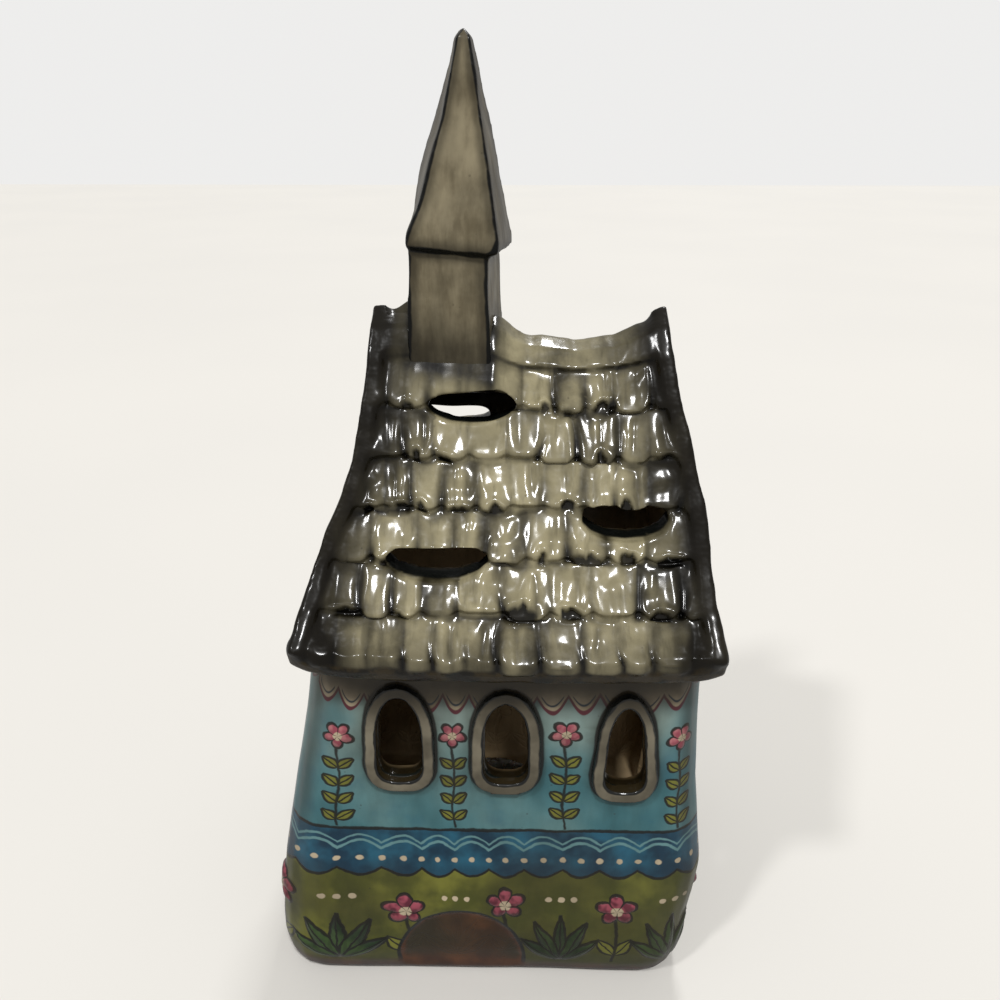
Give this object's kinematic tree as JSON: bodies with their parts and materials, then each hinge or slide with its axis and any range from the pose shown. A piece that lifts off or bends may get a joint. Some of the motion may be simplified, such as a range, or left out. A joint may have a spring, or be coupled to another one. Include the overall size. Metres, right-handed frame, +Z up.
{
  "type": "tea light holder",
  "caption": "Glazed ceramic tea light house in the shape of a small church, with arched windows, a shingled roof with vent slots and a steeple.",
  "frame": {"origin": "on the table, under the middle of the house's outline", "axes": "+Z up, -Y out of the pictured long side with three windows, +X to the right as pictured and out of the doorway in the right gable"},
  "size_m": [0.1144, 0.0996, 0.235],
  "materials": {
    "wall_glaze": "hand-painted clear gloss glaze",
    "roof_glaze": "pooled gloss glaze over pressed shingles",
    "steeple_glaze": "brushed gloss glaze with dark edges",
    "surround_glaze": "pale gloss glaze",
    "foot_glaze": "dark brown glaze",
    "foil": "pressed foil",
    "wax": "smooth wax",
    "tinplate": "satin",
    "wick": "waxed cotton"
  },
  "bodies": {
    "house": {"floor_slab": "foot_glaze", "front_wall": "wall_glaze", "back_wall": "wall_glaze", "left_gable": "wall_glaze", "right_gable": "wall_glaze", "front_window_surround_1": "surround_glaze", "front_window_surround_2": "surround_glaze", "front_window_surround_3": "surround_glaze", "left_window_surround": "surround_glaze", "right_window_surround": "surround_glaze", "roof_front": "roof_glaze", "roof_back": "roof_glaze", "front_eave_roll": "roof_glaze", "back_eave_roll": "roof_glaze", "ridge_strip": "roof_glaze", "left_coping": "roof_glaze", "right_coping": "roof_glaze", "front_course_1": "roof_glaze", "front_course_2": "roof_glaze", "front_course_3": "roof_glaze", "front_course_4": "roof_glaze", "front_course_5": "roof_glaze", "front_course_6": "roof_glaze", "back_course_1": "roof_glaze", "back_course_2": "roof_glaze", "back_course_3": "roof_glaze", "back_course_4": "roof_glaze", "back_course_5": "roof_glaze", "back_course_6": "roof_glaze", "tower": "steeple_glaze", "spire": "steeple_glaze"},
    "tea_light": {"tea_light_cup": "foil", "tea_light_wax": "wax", "wick_sustainer": "tinplate", "wick": "wick"}
  },
  "joints": [
    {"name": "tea_light_slide", "type": "slide", "parent": "house", "child": "tea_light", "axis": [1, 0, 0], "range_m": [0, 0.08]}
  ]
}
